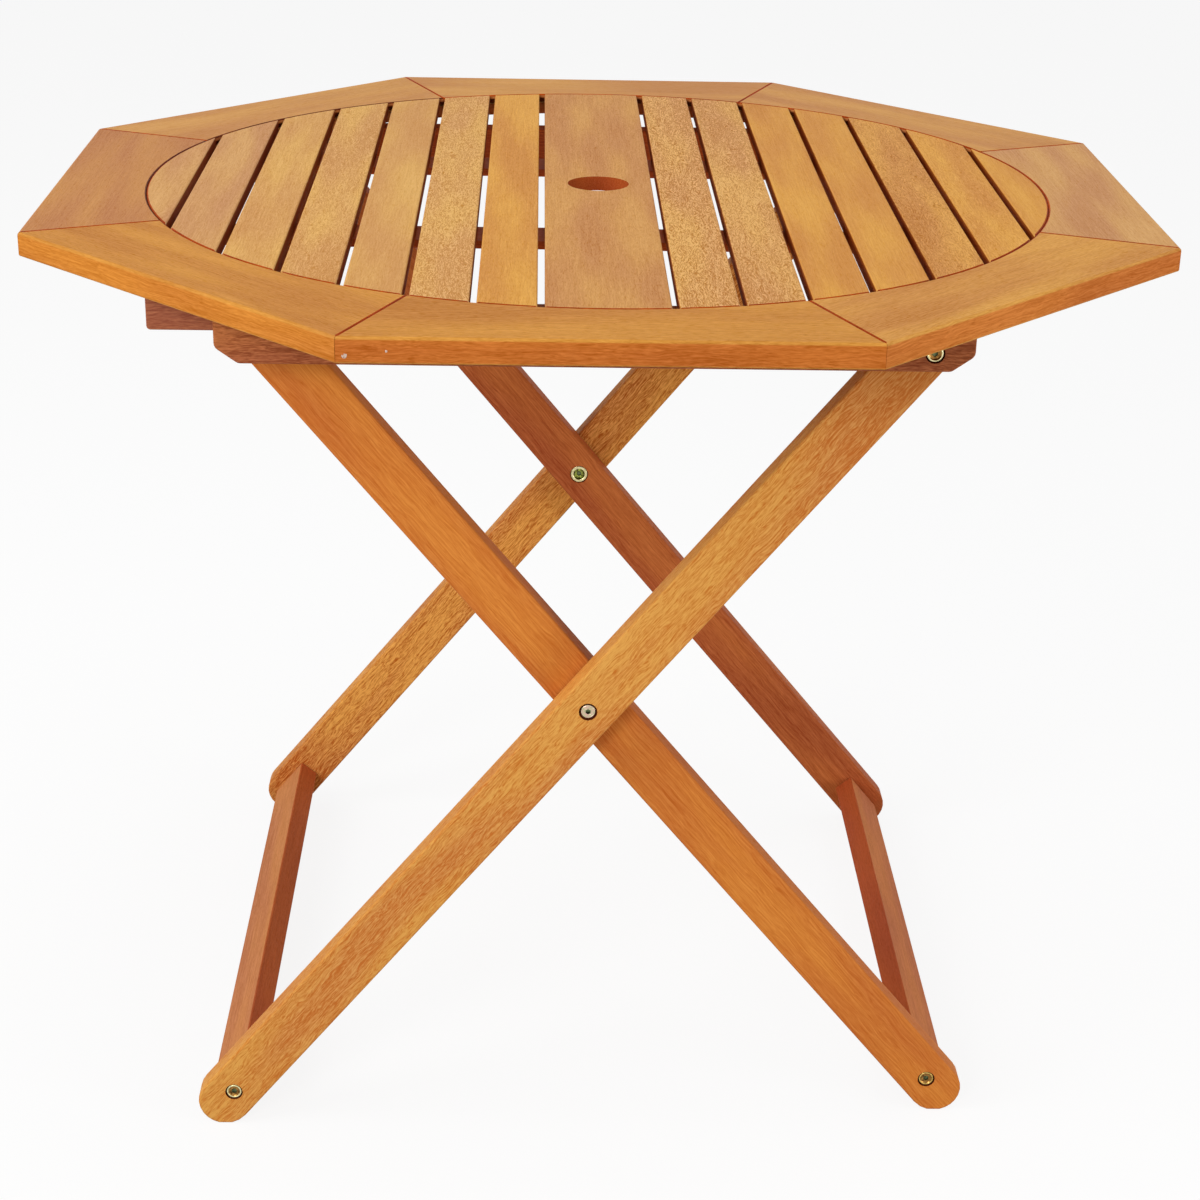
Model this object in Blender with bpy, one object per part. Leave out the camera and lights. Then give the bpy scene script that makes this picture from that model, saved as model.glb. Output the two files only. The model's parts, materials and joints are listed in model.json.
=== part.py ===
"""Folding octagonal outdoor dining table, in oiled hardwood with steel fittings.

Origin on the floor under the middle of the top, +X right, +Y away, +Z up, lengths in metres.
The outer leg frame has its foot on the left, and its head is bolted to two rails under the
top. The inner leg frame crosses inside it, and its crossbar bears on two stop blocks.
"""

import math

import bmesh
import bpy
from mathutils import Matrix, Vector

# Clearances: between resting faces, round turning pins, and past a face for a clean cut
TOUCH = 0.0003
RUNNING = 0.0005
CUT_MARGIN = 0.001

# Tabletop
TOP_HEIGHT = 0.740
ACROSS_FLATS = 0.900
BORDER_THICKNESS = 0.019
BORDER_TOP_ROUNDING = 0.0025
BORDER_BOTTOM_ROUNDING = 0.0015
BORDER_NARROWEST = 0.075
PLANK_WIDTH = 0.090
SLAT_WIDTH = 0.0432
SLAT_GAP = 0.0052
SLAT_THICKNESS = 0.012
SLAT_ROUNDING = 0.0012
NARROWEST_SLAT = 0.015
TONGUE_LENGTH = 0.006
TONGUE_THICKNESS = 0.004
POLE_HOLE_DIAMETER = 0.0516
BATTEN_WIDTH = 0.045
BATTEN_OFFSET = 0.124

# Rails and stop blocks under the top
RAIL_SEAT = 0.065
RAIL_HEIGHT = 0.042
RAIL_THICKNESS = 0.022
RAIL_CHAMFER_LENGTH = 0.017
RAIL_CHAMFER_HEIGHT = 0.012
RAIL_CORNER_RADIUS = 0.006
BLOCK_HEIGHT = 0.0385
BLOCK_THICKNESS = 0.022
BLOCK_SEAT = 0.0482
BLOCK_WALL = 0.0727
BLOCK_ARM = 0.046
BLOCK_CORNER_RADIUS = 0.003
CARRIER_ROUNDING = 0.0012

# Leg frames
UNDERFRAME_OFFSET = -0.007
FRAME_CLEAR_WIDTH = 0.499
LEG_WIDTH = 0.044
LEG_THICKNESS = 0.022
LEG_ROUNDING = 0.002
OUTER_FOOT_SPREAD = 0.0472
INNER_FOOT_SPREAD = 0.0556
FOOT_FLAT = 0.011
FOOT_BOLT_INSET = 0.013
PIVOT_INSET = 0.0298
PIVOT_DROP = 0.0285
STRETCHER_WIDTH = 0.044
STRETCHER_THICKNESS = 0.020
STRETCHER_ROUNDING = 0.0015
CROSSBAR_DIAMETER = 0.024
CROSSBAR_TENON = 0.012

# Bolts with a socket head, sleeve nuts, threaded inserts and washers
SHANK_DIAMETER = 0.006
HEAD_DIAMETER = 0.013
HEAD_THICKNESS = 0.0022
HEAD_CHAMFER = 0.0005
HEAD_CLEARANCE = 0.0009
FITTING_SUNK = 0.0007
SOCKET_DIAMETER = 0.0046
SOCKET_DEPTH = 0.0016
FLANGE_DIAMETER = 0.017
FLANGE_THICKNESS = 0.003
DISH_DIAMETER = 0.0112
DISH_DEPTH = 0.0015
SLEEVE_DIAMETER = 0.0086
SLEEVE_LENGTH = 0.016
SLEEVE_FLOOR = 0.001
THREAD_END_SPACE = 0.0015
INSERT_DIAMETER = 0.010
INSERT_LENGTH = 0.013
BOLT_REACH = 0.010
WASHER_DIAMETER = 0.018
CROSSING_WASHER = 0.001
RAIL_WASHER = 0.0016

# Deep countersunk holes for the wood screws that hold the rails and blocks to the border
SCREW_HOLE_DIAMETER = 0.0046
SCREW_HEAD_HOLE_DIAMETER = 0.0086
SCREW_HEAD_DEPTH = 0.0025
SCREW_GRIP = 0.022
RAIL_SCREW_SPACING = 0.023
BLOCK_SCREW_INSET = 0.014
BLOCK_SCREW_SPACING = 0.028

# Names of sides
SIDES = (("front", -1), ("rear", 1))
BORDER_BOARDS = ("right", "rear_right", "rear", "rear_left", "left", "front_left", "front", "front_right")

# Facets of round work, and the angles from which an edge is sharp or gets rounded
BORDER_SIDES = 8
OPENING_FACETS = 128
HOLE_FACETS = 32
CROSSBAR_FACETS = 24
FITTING_FACETS = 16
SCREW_FACETS = 10
SOCKET_FACETS = 6
LEG_END_FACETS = 12
BORDER_TOP_FACETS = 3
EDGE_FACETS = 2
ROUND_PROFILE = 0.5
ROUNDING_TOLERANCE = 0.0001
WELD_DISTANCE = 0.00001
SHARP_ANGLE = math.radians(35)
ROUNDED_ANGLE = math.radians(40)

# The round opening in the border, for the slats
OPENING_RADIUS = ACROSS_FLATS / 2 - BORDER_NARROWEST

# Heights under the top surface
UNDERSIDE = TOP_HEIGHT - BORDER_THICKNESS
SLAT_UNDERSIDE = TOP_HEIGHT - SLAT_THICKNESS
TONGUE_MIDDLE = TOP_HEIGHT - SLAT_THICKNESS / 2
CARRIER_TOP = UNDERSIDE - TOUCH
PIVOT_HEIGHT = UNDERSIDE - PIVOT_DROP

# Stations across the table, as distances from its middle plane
INNER_LEG_INSIDE = FRAME_CLEAR_WIDTH / 2
INNER_LEG_OUTSIDE = INNER_LEG_INSIDE + LEG_THICKNESS
OUTER_LEG_INSIDE = INNER_LEG_OUTSIDE + CROSSING_WASHER + 2 * TOUCH
OUTER_LEG_OUTSIDE = OUTER_LEG_INSIDE + LEG_THICKNESS
RAIL_INSIDE = OUTER_LEG_OUTSIDE + RAIL_WASHER + 2 * TOUCH
RAIL_MIDDLE = RAIL_INSIDE + RAIL_THICKNESS / 2
RAIL_OUTSIDE = RAIL_INSIDE + RAIL_THICKNESS
BLOCK_OUTSIDE = INNER_LEG_INSIDE - RUNNING
BLOCK_MIDDLE = BLOCK_OUTSIDE - BLOCK_THICKNESS / 2

# Rails and blocks end under the border, where they are screwed to it
RAIL_HALF_LENGTH = math.sqrt(OPENING_RADIUS**2 - RAIL_MIDDLE**2) + RAIL_SEAT
PIVOT_REACH = RAIL_HALF_LENGTH - PIVOT_INSET
BLOCK_LEFT = UNDERFRAME_OFFSET - math.sqrt(OPENING_RADIUS**2 - BLOCK_MIDDLE**2) - BLOCK_SEAT
CROSSBAR_SEAT_RADIUS = CROSSBAR_DIAMETER / 2 + TOUCH

# The arms of the scissor are close to equal, so the crossbar slides nearly level under the top
LEG_RADIUS = LEG_WIDTH / 2
FOOT_HEIGHT = math.sqrt(LEG_RADIUS**2 - (FOOT_FLAT / 2) ** 2)
OUTER_HEAD = Vector((UNDERFRAME_OFFSET + PIVOT_REACH, 0, PIVOT_HEIGHT))
INNER_HEAD = Vector((BLOCK_LEFT + BLOCK_WALL + CROSSBAR_SEAT_RADIUS, 0, PIVOT_HEIGHT))
OUTER_FOOT = Vector((INNER_HEAD.x - OUTER_FOOT_SPREAD, 0, FOOT_HEIGHT))
INNER_FOOT = Vector((OUTER_HEAD.x + INNER_FOOT_SPREAD, 0, FOOT_HEIGHT))
FEET_APART = INNER_FOOT.x - OUTER_FOOT.x
HEADS_APART = OUTER_HEAD.x - INNER_HEAD.x
CROSSING = OUTER_FOOT.lerp(OUTER_HEAD, FEET_APART / (FEET_APART + HEADS_APART))
OUTER_ALONG = (OUTER_HEAD - OUTER_FOOT).normalized()
INNER_ALONG = (INNER_HEAD - INNER_FOOT).normalized()
OUTER_FOOT_BOLT = OUTER_FOOT + FOOT_BOLT_INSET * OUTER_ALONG
INNER_FOOT_BOLT = INNER_FOOT + FOOT_BOLT_INSET * INNER_ALONG

# Colours of the oiled boards and of the fittings
HONEY = "#C88A4C"
TAN = "#BE7F47"
ROSE = "#B9764A"
AMBER = "#C27B3A"
RUSSET = "#A85A2C"
UMBER = "#8E4A28"
ZINC = "#B9B59A"
BRASS = "#B79A5A"
OILED_ROUGHNESS = 0.48
PLATED_ROUGHNESS = 0.32


def linear(hex_colour):
    """Linear RGB of an sRGB hex colour."""
    channels = [int(hex_colour[i : i + 2], 16) / 255 for i in (1, 3, 5)]
    return [c / 12.92 if c <= 0.04045 else ((c + 0.055) / 1.055) ** 2.4 for c in channels]


def finish(name, hex_colour, roughness, metallic):
    """The plain material of one sub-part."""
    material = bpy.data.materials.new(name + "_finish")
    material.use_nodes = True
    shader = material.node_tree.nodes["Principled BSDF"]
    shader.inputs["Base Color"].default_value = (*linear(hex_colour), 1)
    shader.inputs["Roughness"].default_value = roughness
    shader.inputs["Metallic"].default_value = metallic
    return material


def place_of(empty):
    """World place of an empty, summed up its chain of parents."""
    return empty.location + (place_of(empty.parent) if empty.parent else Vector())


def add_pivot(name, place, parent=None):
    """An empty on a joint's axis, which carries the pieces that turn about it."""
    pivot = bpy.data.objects.new(name, None)
    pivot.parent = parent
    pivot.location = place - (place_of(parent) if parent else Vector())
    bpy.context.scene.collection.objects.link(pivot)
    return pivot


def add_object(name, bm, parent=None):
    """An object from a shape drawn in world places, with its origin at its parent."""
    if parent:
        bmesh.ops.translate(bm, verts=bm.verts, vec=-place_of(parent))
    bmesh.ops.recalc_face_normals(bm, faces=bm.faces)
    mesh = bpy.data.meshes.new(name)
    bm.to_mesh(mesh)
    bm.free()
    mesh.shade_smooth()
    mesh.set_sharp_from_angle(angle=SHARP_ANGLE)
    obj = bpy.data.objects.new(name, mesh)
    obj.parent = parent
    bpy.context.scene.collection.objects.link(obj)
    return obj


def add_cutter(name, bm):
    """A shape that only cuts or trims others, so it isn't part of the table."""
    obj = add_object(name, bm)
    obj.hide_render = True
    obj.display_type = "WIRE"
    return obj


def cut(obj, cutter, operation="DIFFERENCE"):
    """Cut a piece with another shape, or trim it to that shape with INTERSECT."""
    boolean = obj.modifiers.new(cutter.name, "BOOLEAN")
    boolean.operation = operation
    boolean.object = cutter


def add_board(name, bm, parent, hex_colour, rounding=0.0):
    """A wooden piece, with its sharp edges rounded before anything is cut out of it."""
    obj = add_object(name, bm, parent)
    obj.data.materials.append(finish(name, hex_colour, OILED_ROUGHNESS, 0.0))
    if rounding:
        bevel = obj.modifiers.new("rounded edges", "BEVEL")
        bevel.width = rounding
        bevel.segments = EDGE_FACETS
        bevel.limit_method = "ANGLE"
        bevel.angle_limit = ROUNDED_ANGLE
    return obj


def add_fitting(name, bm, parent, hex_colour):
    """A plated steel piece."""
    obj = add_object(name, bm, parent)
    obj.data.materials.append(finish(name, hex_colour, PLATED_ROUGHNESS, 1.0))
    return obj


def extrude_outline(bm, outline, axis, low, high):
    """Extrude a closed outline between two stations of the axis that it is drawn square to."""
    verts = [bm.verts.new(point) for point in outline]
    for vert in verts:
        vert.co[axis] = low
    base = bm.faces.new(verts)
    grown = bmesh.ops.extrude_face_region(bm, geom=[base])["geom"]
    step = Vector((0, 0, 0))
    step[axis] = high - low
    bmesh.ops.translate(bm, verts=[v for v in grown if isinstance(v, bmesh.types.BMVert)], vec=step)


def side_prism(outline, low, high):
    """A piece drawn in the side view and extruded across the table."""
    bm = bmesh.new()
    extrude_outline(bm, outline, 1, low, high)
    return bm


def box(low, high):
    """A box between two corners."""
    bm = bmesh.new()
    outline = [Vector((x, y, 0)) for x, y in
               ((low[0], low[1]), (high[0], low[1]), (high[0], high[1]), (low[0], high[1]))]
    extrude_outline(bm, outline, 2, low[2], high[2])
    return bm


def turn(bm, profile, origin, direction, facets, ring=False):
    """Spin a profile of (radius, station) points about the line through origin."""
    side = Vector((1, 0, 0))
    verts = [bm.verts.new(origin + side * radius + direction * station) for radius, station in profile]
    pairs = list(zip(verts, verts[1:]))
    if ring:
        pairs.append((verts[-1], verts[0]))
    edges = [bm.edges.new(pair) for pair in pairs]
    bmesh.ops.spin(bm, geom=verts + edges, cent=origin, axis=direction, steps=facets, angle=math.tau)
    bmesh.ops.remove_doubles(bm, verts=bm.verts, dist=WELD_DISTANCE)


def turned_across(profile, place, signs, facets=FITTING_FACETS, ring=False):
    """A shape turned about a line across the table, its stations counted outwards."""
    bm = bmesh.new()
    for sign in signs:
        turn(bm, profile, Vector((place.x, 0, place.z)), Vector((0, sign, 0)), facets, ring)
    return bm


def arc(centre, radius, start, end):
    """Points on an arc in the side view, both ends included, angles from +X towards +Z."""
    steps = max(1, round(LEG_END_FACETS * abs(end - start) / math.pi))
    angles = [start + (end - start) * i / steps for i in range(steps + 1)]
    return [centre + radius * Vector((math.cos(a), 0, math.sin(a))) for a in angles]


def rounded(corners):
    """A side-view outline from (x, z, corner radius) points, true to the rounding tolerance."""
    places = [Vector((x, 0, z)) for x, z, radius in corners]
    outline = []
    for i, (x, z, radius) in enumerate(corners):
        here = places[i]
        if not radius:
            outline.append(here)
            continue
        back = (places[i - 1] - here).normalized()
        ahead = (places[(i + 1) % len(places)] - here).normalized()
        half = back.angle(ahead) / 2
        centre = here + (back + ahead).normalized() * radius / math.sin(half)
        first = (here + back * radius / math.tan(half) - centre).normalized()
        last = (here + ahead * radius / math.tan(half) - centre).normalized()
        steps = math.ceil(first.angle(last) / (2 * math.acos(1 - ROUNDING_TOLERANCE / radius)))
        outline += [centre + radius * first.slerp(last, k / steps) for k in range(steps + 1)]
    return outline


def opening_cutters():
    """The two turned shapes that make the round joint: the slats' trim and the border's groove."""
    tongue_low = TONGUE_MIDDLE - TONGUE_THICKNESS / 2
    tongue_high = TONGUE_MIDDLE + TONGUE_THICKNESS / 2
    edge = OPENING_RADIUS - TOUCH
    trim = bmesh.new()
    profile = [(0, UNDERSIDE - CUT_MARGIN), (edge, UNDERSIDE - CUT_MARGIN), (edge, tongue_low),
               (edge + TONGUE_LENGTH, tongue_low), (edge + TONGUE_LENGTH, tongue_high),
               (edge, tongue_high), (edge, TOP_HEIGHT + CUT_MARGIN), (0, TOP_HEIGHT + CUT_MARGIN)]
    turn(trim, profile, Vector(), Vector((0, 0, 1)), OPENING_FACETS)
    groove = bmesh.new()
    inner = OPENING_RADIUS - CUT_MARGIN
    outer = OPENING_RADIUS + TONGUE_LENGTH + TOUCH
    profile = [(inner, tongue_low - TOUCH), (outer, tongue_low - TOUCH),
               (outer, tongue_high + TOUCH), (inner, tongue_high + TOUCH)]
    turn(groove, profile, Vector(), Vector((0, 0, 1)), OPENING_FACETS, ring=True)
    return add_cutter("slat_trim", trim), add_cutter("border_groove", groove)


def border_board(turned_by):
    """One mitred border board, drawn on the +X side and turned into its place."""
    half_angle = math.pi / BORDER_SIDES
    apothem = ACROSS_FLATS / 2
    half_gap = TOUCH / 2
    corner = apothem * math.tan(half_angle) - half_gap / math.cos(half_angle)
    mitre_inner = math.sqrt(OPENING_RADIUS**2 - half_gap**2)
    end = Vector((math.cos(half_angle), math.sin(half_angle), 0)) * mitre_inner
    end += Vector((math.sin(half_angle), -math.cos(half_angle), 0)) * half_gap
    steps = OPENING_FACETS // BORDER_SIDES
    inside = [half_angle * (1 - 2 * i / steps) for i in range(1, steps)]
    outline = [Vector((apothem, -corner, 0)), Vector((apothem, corner, 0)), end]
    outline += [OPENING_RADIUS * Vector((math.cos(a), math.sin(a), 0)) for a in inside]
    outline.append(Vector((end.x, -end.y, 0)))
    bm = bmesh.new()
    extrude_outline(bm, outline, 2, UNDERSIDE, TOP_HEIGHT)
    for height, radius, segments in (
        (TOP_HEIGHT, BORDER_TOP_ROUNDING, BORDER_TOP_FACETS),
        (UNDERSIDE, BORDER_BOTTOM_ROUNDING, EDGE_FACETS),
    ):
        edges = [e for e in bm.edges
                 if all(abs(v.co.x - apothem) < TOUCH and abs(v.co.z - height) < TOUCH for v in e.verts)]
        bmesh.ops.bevel(bm, geom=edges, offset=radius, segments=segments, profile=ROUND_PROFILE,
                         affect="EDGES")
    bmesh.ops.rotate(bm, verts=bm.verts, matrix=Matrix.Rotation(turned_by, 3, "Z"))
    return bm


def add_border(parent, groove):
    """The eight border boards, mitred at the corners and grooved for the slats."""
    tones = (TAN, AMBER, HONEY, HONEY, TAN, AMBER, TAN, HONEY)
    for i, side in enumerate(BORDER_BOARDS):
        shape = border_board(i * math.tau / BORDER_SIDES)
        board = add_board("border_" + side, shape, parent, tones[i])
        cut(board, groove)


def add_slats(parent, trim):
    """The centre plank with its pole hole, and the slats on both sides of it."""
    reach = OPENING_RADIUS + TONGUE_LENGTH + CUT_MARGIN
    half_plank = PLANK_WIDTH / 2
    low, high = SLAT_UNDERSIDE, TOP_HEIGHT
    plank = add_board("centre_plank", box((-half_plank, -reach, low), (half_plank, reach, high)),
                      parent, ROSE, SLAT_ROUNDING)
    cut(plank, trim, "INTERSECT")
    hole = bmesh.new()
    hole_radius = POLE_HOLE_DIAMETER / 2
    ends = (low - CUT_MARGIN, high + CUT_MARGIN)
    profile = [(0, ends[0]), (hole_radius, ends[0]), (hole_radius, ends[1]), (0, ends[1])]
    turn(hole, profile, Vector(), Vector((0, 0, 1)), HOLE_FACETS)
    cut(plank, add_cutter("pole_hole", hole))

    pitch = SLAT_WIDTH + SLAT_GAP
    count = math.floor((OPENING_RADIUS - half_plank - SLAT_GAP - NARROWEST_SLAT) / pitch) + 1
    tones = (HONEY, ROSE, TAN)
    for i in range(count):
        near = half_plank + SLAT_GAP + i * pitch
        far = near + SLAT_WIDTH if i < count - 1 else reach
        for side, sign in (("left", -1), ("right", 1)):
            x_low, x_high = sorted((sign * near, sign * far))
            slat = add_board(f"slat_{side}_{i + 1}", box((x_low, -reach, low), (x_high, reach, high)),
                             parent, tones[i % len(tones)], SLAT_ROUNDING)
            cut(slat, trim, "INTERSECT")


def add_battens(parent, trim):
    """The two battens let in under the slats, flush with the border's underside."""
    reach = OPENING_RADIUS + CUT_MARGIN
    for side, sign in SIDES:
        y_low, y_high = sorted((sign * (BATTEN_OFFSET - BATTEN_WIDTH / 2),
                                sign * (BATTEN_OFFSET + BATTEN_WIDTH / 2)))
        shape = box((-reach, y_low, UNDERSIDE), (reach, y_high, SLAT_UNDERSIDE - TOUCH))
        batten = add_board("batten_" + side, shape, parent, RUSSET, SLAT_ROUNDING)
        cut(batten, trim, "INTERSECT")


def add_rails(parent, bolt_space, screw_holes):
    """The two rails that the outer legs are bolted to, with cropped lower corners."""
    left = UNDERFRAME_OFFSET - RAIL_HALF_LENGTH
    right = UNDERFRAME_OFFSET + RAIL_HALF_LENGTH
    low = CARRIER_TOP - RAIL_HEIGHT
    shoulder = low + RAIL_CHAMFER_HEIGHT
    soft = RAIL_CORNER_RADIUS
    outline = rounded([
        (left, CARRIER_TOP, 0), (left, shoulder, soft), (left + RAIL_CHAMFER_LENGTH, low, soft),
        (right - RAIL_CHAMFER_LENGTH, low, soft), (right, shoulder, soft), (right, CARRIER_TOP, 0),
    ])
    for side, sign in SIDES:
        stations = sorted((sign * RAIL_INSIDE, sign * RAIL_OUTSIDE))
        rail = add_board("rail_" + side, side_prism(outline, *stations), parent, UMBER, CARRIER_ROUNDING)
        cut(rail, bolt_space)
        cut(rail, screw_holes)


def add_stop_blocks(parent, screw_holes):
    """The two blocks that the inner crossbar bears on, each notched to the bar's round."""
    wall = BLOCK_LEFT + BLOCK_WALL
    right = INNER_HEAD.x + BLOCK_ARM
    low = CARRIER_TOP - BLOCK_HEIGHT
    arm_low = INNER_HEAD.z + CROSSBAR_SEAT_RADIUS
    soft = BLOCK_CORNER_RADIUS
    outline = rounded([
        (BLOCK_LEFT, CARRIER_TOP, 0), (BLOCK_LEFT, low, soft), (wall, low, soft),
        (wall, arm_low, CROSSBAR_SEAT_RADIUS), (right, arm_low, soft), (right, CARRIER_TOP, 0),
    ])
    for side, sign in SIDES:
        stations = sorted((sign * (BLOCK_OUTSIDE - BLOCK_THICKNESS), sign * BLOCK_OUTSIDE))
        block = add_board("stop_block_" + side, side_prism(outline, *stations), parent, UMBER,
                          CARRIER_ROUNDING)
        cut(block, screw_holes)


def leg_outline(foot, head, along):
    """Side view of a leg: two round ends, and a small flat where the foot meets the floor."""
    quarter = math.pi / 2
    lean = math.atan2(along.z, along.x)
    flat = math.asin(FOOT_FLAT / 2 / LEG_RADIUS)
    points = arc(head, LEG_RADIUS, lean - quarter, lean + quarter)
    points += arc(foot, LEG_RADIUS, lean + quarter, 3 * quarter - flat)
    points += arc(foot, LEG_RADIUS, 3 * quarter + flat, lean + 3 * quarter)
    return points


def add_legs(frame, parent, foot, head, along, inside, tones, spaces):
    """The front and rear leg of one frame."""
    outline = leg_outline(foot, head, along)
    for (side, sign), tone in zip(SIDES, tones):
        stations = sorted((sign * inside, sign * (inside + LEG_THICKNESS)))
        leg = add_board(f"{frame}_leg_{side}", side_prism(outline, *stations), parent, tone, LEG_ROUNDING)
        for space in spaces:
            cut(leg, space)


def add_stretcher(name, parent, place, along, inside, space):
    """The board between one frame's feet, its width along the legs."""
    across = along.cross(Vector((0, 1, 0)))
    reach = along * STRETCHER_WIDTH / 2
    half = across * STRETCHER_THICKNESS / 2
    outline = [place + reach + half, place + reach - half, place - reach - half, place - reach + half]
    shape = side_prism(outline, TOUCH - inside, inside - TOUCH)
    cut(add_board(name, shape, parent, UMBER, STRETCHER_ROUNDING), space)


def crossbar_socket():
    """The blind holes in the inner legs' heads that hold the crossbar's ends."""
    low, high = INNER_LEG_INSIDE - CUT_MARGIN, INNER_LEG_INSIDE + CROSSBAR_TENON
    profile = [(0, low), (CROSSBAR_SEAT_RADIUS, low), (CROSSBAR_SEAT_RADIUS, high), (0, high)]
    return add_cutter("crossbar_socket", turned_across(profile, INNER_HEAD, (-1, 1), CROSSBAR_FACETS))


def add_crossbar(parent):
    """The round bar whose ends are let into the inner legs' heads."""
    end = INNER_LEG_INSIDE + CROSSBAR_TENON - TOUCH
    radius = CROSSBAR_DIAMETER / 2
    corner = radius - STRETCHER_ROUNDING
    profile = [(0, -end), (corner, -end), (radius, STRETCHER_ROUNDING - end),
               (radius, end - STRETCHER_ROUNDING), (corner, end), (0, end)]
    shape = turned_across(profile, INNER_HEAD, (1,), CROSSBAR_FACETS)
    add_board("inner_crossbar", shape, parent, UMBER)


def bolt_hole_profile(outside):
    """The outer part of a bolt's hole: counterbore for the head, then the shank's bore."""
    counterbore = HEAD_DIAMETER / 2 + HEAD_CLEARANCE
    bore = SHANK_DIAMETER / 2 + RUNNING
    seat = outside - FITTING_SUNK - HEAD_THICKNESS - TOUCH
    return [(0, outside + CUT_MARGIN), (counterbore, outside + CUT_MARGIN), (counterbore, seat), (bore, seat)]


def nut_stations(face):
    """Stations of a sleeve nut let into an inner face: rim, seat, dish, bore floor and end."""
    rim = face + FITTING_SUNK
    dish = rim + DISH_DEPTH
    return rim, rim + FLANGE_THICKNESS, dish, dish + SLEEVE_FLOOR, rim + SLEEVE_LENGTH


def add_bolts(name, place, parent, outside, end, hex_colour):
    """A front and a rear bolt, each with a low chamfered head and a six-sided socket."""
    head, shank, socket = HEAD_DIAMETER / 2, SHANK_DIAMETER / 2, SOCKET_DIAMETER / 2
    top = outside - FITTING_SUNK
    seat = top - HEAD_THICKNESS
    bolt = [(0, top), (head - HEAD_CHAMFER, top), (head, top - HEAD_CHAMFER), (head, seat),
            (shank, seat), (shank, end), (0, end)]
    low, high = top - SOCKET_DEPTH, top + CUT_MARGIN
    hollow = [(0, high), (socket, high), (socket, low), (0, low)]
    sockets = add_cutter(name + "_sockets", turned_across(hollow, place, (-1, 1), SOCKET_FACETS))
    for side, sign in SIDES:
        cut(add_fitting(f"{name}_{side}", turned_across(bolt, place, (sign,)), parent, hex_colour), sockets)


def add_pivot_fittings(name, place, parent, outside, face, washer_low, washer_thickness):
    """Through bolts, the sleeve nuts on their ends and the washers between the pieces they join."""
    rim, seat, dish, floor, end = nut_stations(face)
    add_bolts(name + "_bolt", place, parent, outside, floor + THREAD_END_SPACE, ZINC)
    flange, sleeve = FLANGE_DIAMETER / 2, SLEEVE_DIAMETER / 2
    hollow, thread = DISH_DIAMETER / 2, SHANK_DIAMETER / 2 + TOUCH
    nut = [(0, dish), (hollow, dish), (hollow, rim), (flange, rim), (flange, seat), (sleeve, seat),
           (sleeve, end), (thread, end), (thread, floor), (0, floor)]
    bore, rim = SHANK_DIAMETER / 2 + RUNNING, WASHER_DIAMETER / 2
    low, high = washer_low, washer_low + washer_thickness
    washer = [(bore, low), (rim, low), (rim, high), (bore, high)]
    for side, sign in SIDES:
        add_fitting(f"{name}_sleeve_nut_{side}", turned_across(nut, place, (sign,)), parent, ZINC)
        add_fitting(f"{name}_washer_{side}", turned_across(washer, place, (sign,), ring=True), parent, ZINC)


def pivot_space(name, place, outside, face):
    """The stepped hole that a through bolt and its sleeve nut need."""
    rim, seat, dish, floor, end = nut_stations(face)
    bore = SHANK_DIAMETER / 2 + RUNNING
    sleeve, flange = SLEEVE_DIAMETER / 2 + RUNNING, FLANGE_DIAMETER / 2 + RUNNING
    profile = bolt_hole_profile(outside) + [
        (bore, end + TOUCH), (sleeve, end + TOUCH), (sleeve, seat + TOUCH), (flange, seat + TOUCH),
        (flange, face - CUT_MARGIN), (0, face - CUT_MARGIN),
    ]
    return add_cutter(name, turned_across(profile, place, (-1, 1)))


def add_foot_fittings(frame, place, parent, outside, inside, hex_colour):
    """Bolts through the feet into threaded inserts in the stretcher's ends."""
    add_bolts(frame + "_foot_bolt", place, parent, outside, inside - BOLT_REACH, hex_colour)
    thread, rim = SHANK_DIAMETER / 2 + TOUCH, INSERT_DIAMETER / 2
    high = inside - TOUCH
    low = high - INSERT_LENGTH
    insert = [(thread, low), (rim, low), (rim, high), (thread, high)]
    for side, sign in SIDES:
        shape = turned_across(insert, place, (sign,), ring=True)
        add_fitting(f"{frame}_stretcher_insert_{side}", shape, parent, ZINC)


def foot_space(name, place, outside, inside):
    """The hole through a foot, and the wider one for the insert in the stretcher's end."""
    bore, wide = SHANK_DIAMETER / 2 + RUNNING, INSERT_DIAMETER / 2 + TOUCH
    step = inside - TOUCH / 2
    floor = inside - 2 * TOUCH - INSERT_LENGTH
    profile = bolt_hole_profile(outside) + [(bore, step), (wide, step), (wide, floor), (0, floor)]
    return add_cutter(name, turned_across(profile, place, (-1, 1)))


def screw_holes(name, places, low):
    """Upright holes up through a rail or block, each with a deep countersink from below."""
    head, bore = SCREW_HEAD_HOLE_DIAMETER / 2, SCREW_HOLE_DIAMETER / 2
    neck = CARRIER_TOP - SCREW_GRIP
    hole = [(0, low - CUT_MARGIN), (head, low - CUT_MARGIN), (head, neck - SCREW_HEAD_DEPTH),
            (bore, neck), (bore, CARRIER_TOP + TOUCH / 2), (0, CARRIER_TOP + TOUCH / 2)]
    bm = bmesh.new()
    for x, y in places:
        turn(bm, hole, Vector((x, y, 0)), Vector((0, 0, 1)), SCREW_FACETS)
    return add_cutter(name, bm)


def rail_screw_places():
    """Two screws round each rail's pivot, and two like them at its other end."""
    offsets = (-RAIL_SCREW_SPACING / 2, RAIL_SCREW_SPACING / 2)
    middles = (UNDERFRAME_OFFSET + PIVOT_REACH, UNDERFRAME_OFFSET - PIVOT_REACH)
    return [(middle + offset, sign * RAIL_MIDDLE)
            for middle in middles for offset in offsets for side, sign in SIDES]


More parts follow.
